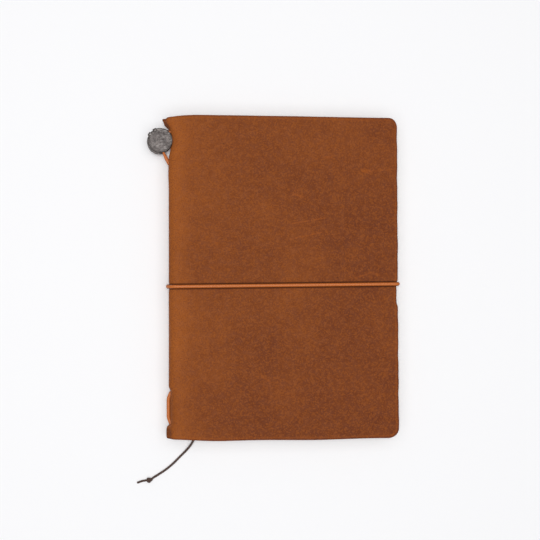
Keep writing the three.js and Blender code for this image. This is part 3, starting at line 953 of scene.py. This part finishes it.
def plate_points(centre, z, outward):
    """A thin round plate, a little dished and bent, with its rim rounded over."""
    spokes = 96
    turn = np.linspace(0, 2 * math.pi, spokes, endpoint=False)
    rim = CLASP_RADIUS + 0.05 * np.sin(3 * turn + 1) + 0.03 * np.sin(7 * turn + outward)
    half = PLATE / 2
    reach = [*np.linspace(0.06, 0.9, 14), *(1 - PLATE_RIM * (1 - np.sin(np.linspace(0, 1.5, 7))))]
    layers = []
    for side in (1, -1):
        for share in (reach if side == 1 else reach[::-1]):
            radius = rim * share
            to_rim = (1 - share) / PLATE_RIM
            thick = half * math.sqrt(max(0.04, 1 - max(0, 1 - to_rim) ** 2))
            raised = 0.10 * math.exp(-((share - 0.93) / 0.035) ** 2) * (side == outward)
            dish = 0.16 * (share ** 2 - 0.5)
            dents = 0.012 * np.sin(radius * 1.7 * np.cos(turn) + 0.4) * np.sin(
                radius * 1.9 * np.sin(turn) + 1.3 * outward)
            height = z + side * thick + outward * (raised - dish) + dents
            layers.append(np.stack([centre[0] + radius * np.cos(turn),
                                    centre[1] + radius * np.sin(turn), height], axis=1))
    return np.array(layers)


def lathe_like(name, layers, material):
    """A closed mesh through rings of points, filled at both ends."""
    vertices = ring_vertices(layers)
    faces = [(face[0], *face[:0:-1]) for face in ring_faces(*layers.shape[:2])]
    return new_mesh(name, places(vertices), faces, [material],
                    attributes=[("plain", "FLOAT_VECTOR", vertices)])


def clasp_tab(name, angle, material):
    """A narrow tab of the back plate, folded up round the rim and over the front one."""
    turn = math.radians(angle)
    centre = (np.array(CLASP_CENTRE) + BACK_CENTRE) / 2
    outline = rounded([(4.1, 0, -0.98), (5.42, 0, -0.98, 0.5), (5.42, 0, 0.98, 0.5),
                       (4.3, 0, 0.98)], 10)
    outline = resample(outline, 0.1)
    out = np.array([math.cos(turn), math.sin(turn), 0])
    path = np.array([*centre, MIDDLE]) + outline[:, :1] * out + outline[:, 2:] * (0, 0, 1)

    def flattened(along, around):
        return 1 / ((np.abs(np.cos(around)) / 0.8) ** 5
                    + (np.abs(np.sin(around)) / 0.19) ** 5) ** 0.2

    piece = tube(name, path, 1.0, material, 28, flattened, round_ends=False)
    mesh = piece.data
    vertices = np.zeros(len(mesh.vertices) * 3)
    mesh.vertices.foreach_get("co", vertices)
    mesh.attributes.new("plain", "FLOAT_VECTOR", "POINT").data.foreach_set(
        "vector", (vertices / MM).astype(np.float32))
    return piece


def add_clasp():
    pieces = [
        lathe_like("clasp_front_plate", plate_points(CLASP_CENTRE, MIDDLE + PLATE_HEIGHT, 1), tin),
        lathe_like("clasp_back_plate", plate_points(BACK_CENTRE, MIDDLE - PLATE_HEIGHT, -1), tin)]
    for number, angle in enumerate(TAB_ANGLES, 1):
        pieces.append(clasp_tab(f"clasp_tab_{number}", angle, tin))
    for piece in pieces:
        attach(piece, "clasp")
    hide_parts("clasp")

    strands = {
        "clasp_strand_lower": [(0.95, 46.75, 5), (0.1, 47.0, 5, 0.8), (-2.1, 51.4, 5, 6),
                               (-2.8, 54.4, 5)],
        "clasp_strand_upper": [(1.0, 60.2, 5), (-0.6, 60.0, 5, 0.8), (-2.4, 58.6, 5)]}
    for name, corners in strands.items():
        path = resample(rounded(corners, 10), 0.2)
        length = lengths(path)[-1]

        def pinched(along, around, length=length):
            flat = smooth((along / length - 0.35) / 0.4)
            return 1 - 0.42 * flat

        strand = tube(name, path, STRETCHED_RADIUS, elastic, 16, pinched)
        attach(strand, "clasp")
        if name.endswith("lower"):
            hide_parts("clasp_strand")


# ---- bookmark ----

BOOKMARK_TABLE = TABLE + BOOKMARK_RADIUS
BOOKMARK_ROUTE = [
    (6.6, 65.4, 5), (8.2, 65.2, 5), (9.3, 63.6, 5), (9.5, 60, 5), (9.8, 30, 5), (10, 0, 5),
    (10.2, -30, 5), (10.4, -57, 5), (11, -62, 4.8), (11, -65.5, 3.6), (10, -68, 2),
    (9, -70, 0.5), (7, -72.5, -0.4), (4.5, -75, BOOKMARK_TABLE), (2, -77.5, BOOKMARK_TABLE),
    (-1, -80, BOOKMARK_TABLE), (-4, -82, BOOKMARK_TABLE), (-6.5, -83.5, BOOKMARK_TABLE)]
BOOKMARK_KNOT = (-8, -84.5, -0.25)
TWIST = 3.4  # length of the twine's full turn
HITCH_RADIUS = 1.4


def twisted(along, around):
    """The section of three strands laid together."""
    return 0.93 + 0.07 * np.cos(3 * (around - along * 2 * math.pi / TWIST))


def add_bookmark():
    # The hitch: two turns of the cord round the booklet's elastic.
    t = np.linspace(0, 4 * math.pi, 80)
    turns = np.stack([5.6 + 0.5 * (t / (2 * math.pi) - 1), END_TURN + HITCH_RADIUS * np.sin(t + 0.6),
                      MIDDLE + HITCH_RADIUS * np.cos(t + 0.6)], axis=1)
    hitch = tube("bookmark_hitch_turns", turns, BOOKMARK_RADIUS, twine, 14, twisted)
    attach(hitch, "spine")
    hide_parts("bookmark_hitch")

    route = resample(spline(BOOKMARK_ROUTE, 12), 0.3)
    cord = tube("bookmark_twine", route, BOOKMARK_RADIUS, twine, 14, twisted)
    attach(cord, "booklet_back")
    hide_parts("bookmark_cord")

    loops = knot_path(BOOKMARK_KNOT, (0.85, 0.7, 0.5), loose=0.5)
    into_knot = spline([BOOKMARK_ROUTE[-1], (-7, -83.9, BOOKMARK_TABLE + 0.1), *loops[::4]], 5)
    knot = tube("bookmark_end_knot", into_knot, 0.42, twine, 14)
    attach(knot, "booklet_back")
    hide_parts("bookmark_knot")

    ends = rounded([(-8.6, -84.5, BOOKMARK_TABLE), (-11, -84.8, BOOKMARK_TABLE, 6),
                    (-13, -85.5, BOOKMARK_TABLE)], 8)
    tail = tube("bookmark_tail_end", resample(ends, 0.2), BOOKMARK_RADIUS - 0.04, twine, 14,
                twisted)
    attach(tail, "booklet_back")
    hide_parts("bookmark_tail")


add_bookmark()
add_band()
add_booklet_elastic()
add_clasp()


# ---- booklet ----

SHEETS = 16
LEAF = 0.09
CARD = 0.25
INNER_FOLD = 0.9  # radius of the innermost sheet's fold, round the elastic
FOLD_PITCH = 0.06
FOLD_PRESSED = 0.4  # the paper is this share thinner at the fold
FOLD_REACH = 5.0  # x over which a sheet's fold opens to its leaf
CARD_EXTRA = 0.12  # the cover's fold stands clear of the last sheet's
STACK = 2.55  # from the booklet's middle to the middle of its cover's card


def half_gap(x):
    """From the middle plane to the innermost leaf: round the elastic and the bookmark."""
    by_elastic = 0.9 - 0.28 * smooth((x - BOOKLET_FOLD - 0.8) / 3)
    return by_elastic - 0.54 * smooth((x - 12) / 9)


def leaf_height(x, k, fold):
    """From the middle plane to sheet k's middle. Sheet 16 is the cover."""
    spread = half_gap(x) + (STACK - half_gap(x)) * k / SHEETS
    return fold + (spread - fold) * smooth((x - BOOKLET_FOLD) / FOLD_REACH)


def half_sheet(name, k, side, thickness, material, fore_edge):
    """Half of a sheet folded once: a leaf, with its part of the fold as far as the tip.

    side is -1 for the booklet's back half and 1 for its front half.
    """
    fold = INNER_FOLD + FOLD_PITCH * k + (CARD_EXTRA if k == SHEETS else 0)
    finer = 22.0
    x = np.concatenate([np.linspace(fore_edge, finer, 26),
                        np.linspace(finer, BOOKLET_FOLD, 26)[1:]])
    turned = np.linspace(0, math.pi / 2, 11)[1:]
    middle = np.concatenate([
        np.stack([x, side * leaf_height(x, k, fold)], axis=1),
        np.stack([BOOKLET_FOLD - fold * np.sin(turned), side * fold * np.cos(turned)], axis=1)])
    along = np.gradient(middle, axis=0)
    along[-1] = (0, -side)
    along /= np.linalg.norm(along, axis=1)[:, None]
    normal = np.stack([along[:, 1], -along[:, 0]], axis=1)
    pressed = 1 - FOLD_PRESSED * (1 - smooth((middle[:, :1] - BOOKLET_FOLD) / FOLD_REACH))
    run = lengths(middle)
    rows = np.linspace(-BOOKLET_HALF_HEIGHT, BOOKLET_HALF_HEIGHT, 41)
    away = smooth((middle[:, 0] - 30) / 50)[:, None]
    wave = 0.025 * away * np.sin(rows / 9.0 + k * 1.7)[None, :]

    def surface(offset):
        points = middle + normal * pressed * offset
        x_grid = np.repeat(points[:, :1], len(rows), axis=1)
        z_grid = points[:, 1:] + wave
        return np.stack([x_grid, np.broadcast_to(rows, x_grid.shape), z_grid + MIDDLE], axis=-1)

    sides = [surface(offset) for offset in (thickness / 2, -thickness / 2)]
    index = np.arange(len(middle) * len(rows)).reshape(len(middle), len(rows))
    count = index.size

    faces = [*grid_faces(index)[:, ::-1], *grid_faces(index + count)]
    for rim in (index[::-1, 0], index[:, -1], index[-1, ::-1], index[0, :]):
        faces.extend(grid_faces(np.stack([rim, rim + count])))
    vertices = np.concatenate([layer.reshape(-1, 3) for layer in sides])
    flat = np.stack([np.broadcast_to(side * run[:, None], index.shape),
                     np.broadcast_to(rows, index.shape),
                     np.full(index.shape, 7.3 * k)], axis=-1).reshape(-1, 3)
    piece = new_mesh(name, places(vertices), faces, [material],
                     attributes=[("plain", "FLOAT_VECTOR", np.concatenate([flat, flat]))])
    edges = set(index[:, 0]) | set(index[:, -1]) | set(index[0]) | set(index[-1])
    sharpen(piece, edges | {i + count for i in edges})
    if side > 0:
        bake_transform(piece)
    else:
        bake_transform(piece)
    return piece


def add_booklet():
    for half, side in (("back", -1), ("front", 1)):
        for k in range(SHEETS):
            number = f"{k + 1:02d}"
            trimmed = 0.05 * math.sin(k * 2.3) + 0.03 * math.sin(k * 5.1)
            leaf = half_sheet(f"booklet_leaf_{half}_{number}", k, side, LEAF, paper,
                              LEAF_END + trimmed)
            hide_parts(f"leaf_{half}_{number}")
        card = half_sheet(f"booklet_card_{half}", SHEETS, side, CARD, kraft, LEAF_END + 0.1)
        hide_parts(f"booklet_cover_{half}")


STAPLE_RADIUS = 0.2
STAPLES_AT = (34.0, -34.0)


def add_staples():
    """Wire through the booklet's fold, with its legs bent over on the inside."""
    inside, outside, reach = 6.07, 4.36, 6.0
    for number, y in enumerate(STAPLES_AT, 1):
        corners = [(inside, y + 0.9, MIDDLE), (inside, y + reach, MIDDLE, 0.32),
                   (outside, y + reach, MIDDLE, 0.32), (outside, y - reach, MIDDLE, 0.32),
                   (inside, y - reach, MIDDLE, 0.32), (inside, y - 0.9, MIDDLE)]
        staple = tube(f"staple_wire_{number}", resample(rounded(corners, 8), 0.1),
                      STAPLE_RADIUS, steel)
        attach(staple, "spine")
        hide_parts(f"staple_{number}")


add_booklet()
add_staples()


# ---- floor and light ----

def add_floor():
    mesh = bpy.data.meshes.new("floor")
    far = 3.0
    mesh.from_pydata([(-far, -far, 0), (far, -far, 0), (far, far, 0), (-far, far, 0)], [],
                     [(0, 1, 2, 3)])
    floor = link(bpy.data.objects.new("floor", mesh))
    floor.location.z = TABLE * MM
    material = bpy.data.materials.new("white_paper_floor")
    material.use_nodes = True
    shader = material.node_tree.nodes["Principled BSDF"]
    shader.inputs["Base Color"].default_value = (0.93, 0.93, 0.94, 1)
    shader.inputs["Roughness"].default_value = 0.9
    shader.inputs["Specular IOR Level"].default_value = 0.1
    mesh.materials.append(material)


def add_light(name, at, size, power):
    """A square area light that points at the notebook's middle."""
    data = bpy.data.lights.new(name, "AREA")
    data.size = size
    data.energy = power
    light = link(bpy.data.objects.new(name, data))
    light.location = at
    light.rotation_euler = (-Vector(at)).to_track_quat("-Z", "Y").to_euler()


def light_scene():
    world = bpy.data.worlds.new("studio")
    bpy.context.scene.world = world
    world.use_nodes = True
    background = world.node_tree.nodes["Background"]
    background.inputs["Color"].default_value = (1.0, 1.0, 1.02, 1)
    background.inputs["Strength"].default_value = 0.2
    add_light("key_overhead", (-0.11, 0.03, 1.2), 0.34, 6.6)
    add_light("softbox_overhead", (0.0, 0.0, 1.1), 1.4, 7.3)
    view = bpy.context.scene.view_settings
    view.view_transform = "Standard"
    view.look = "None"
    view.exposure = 0.0
    view.gamma = 1.0


add_floor()
light_scene()
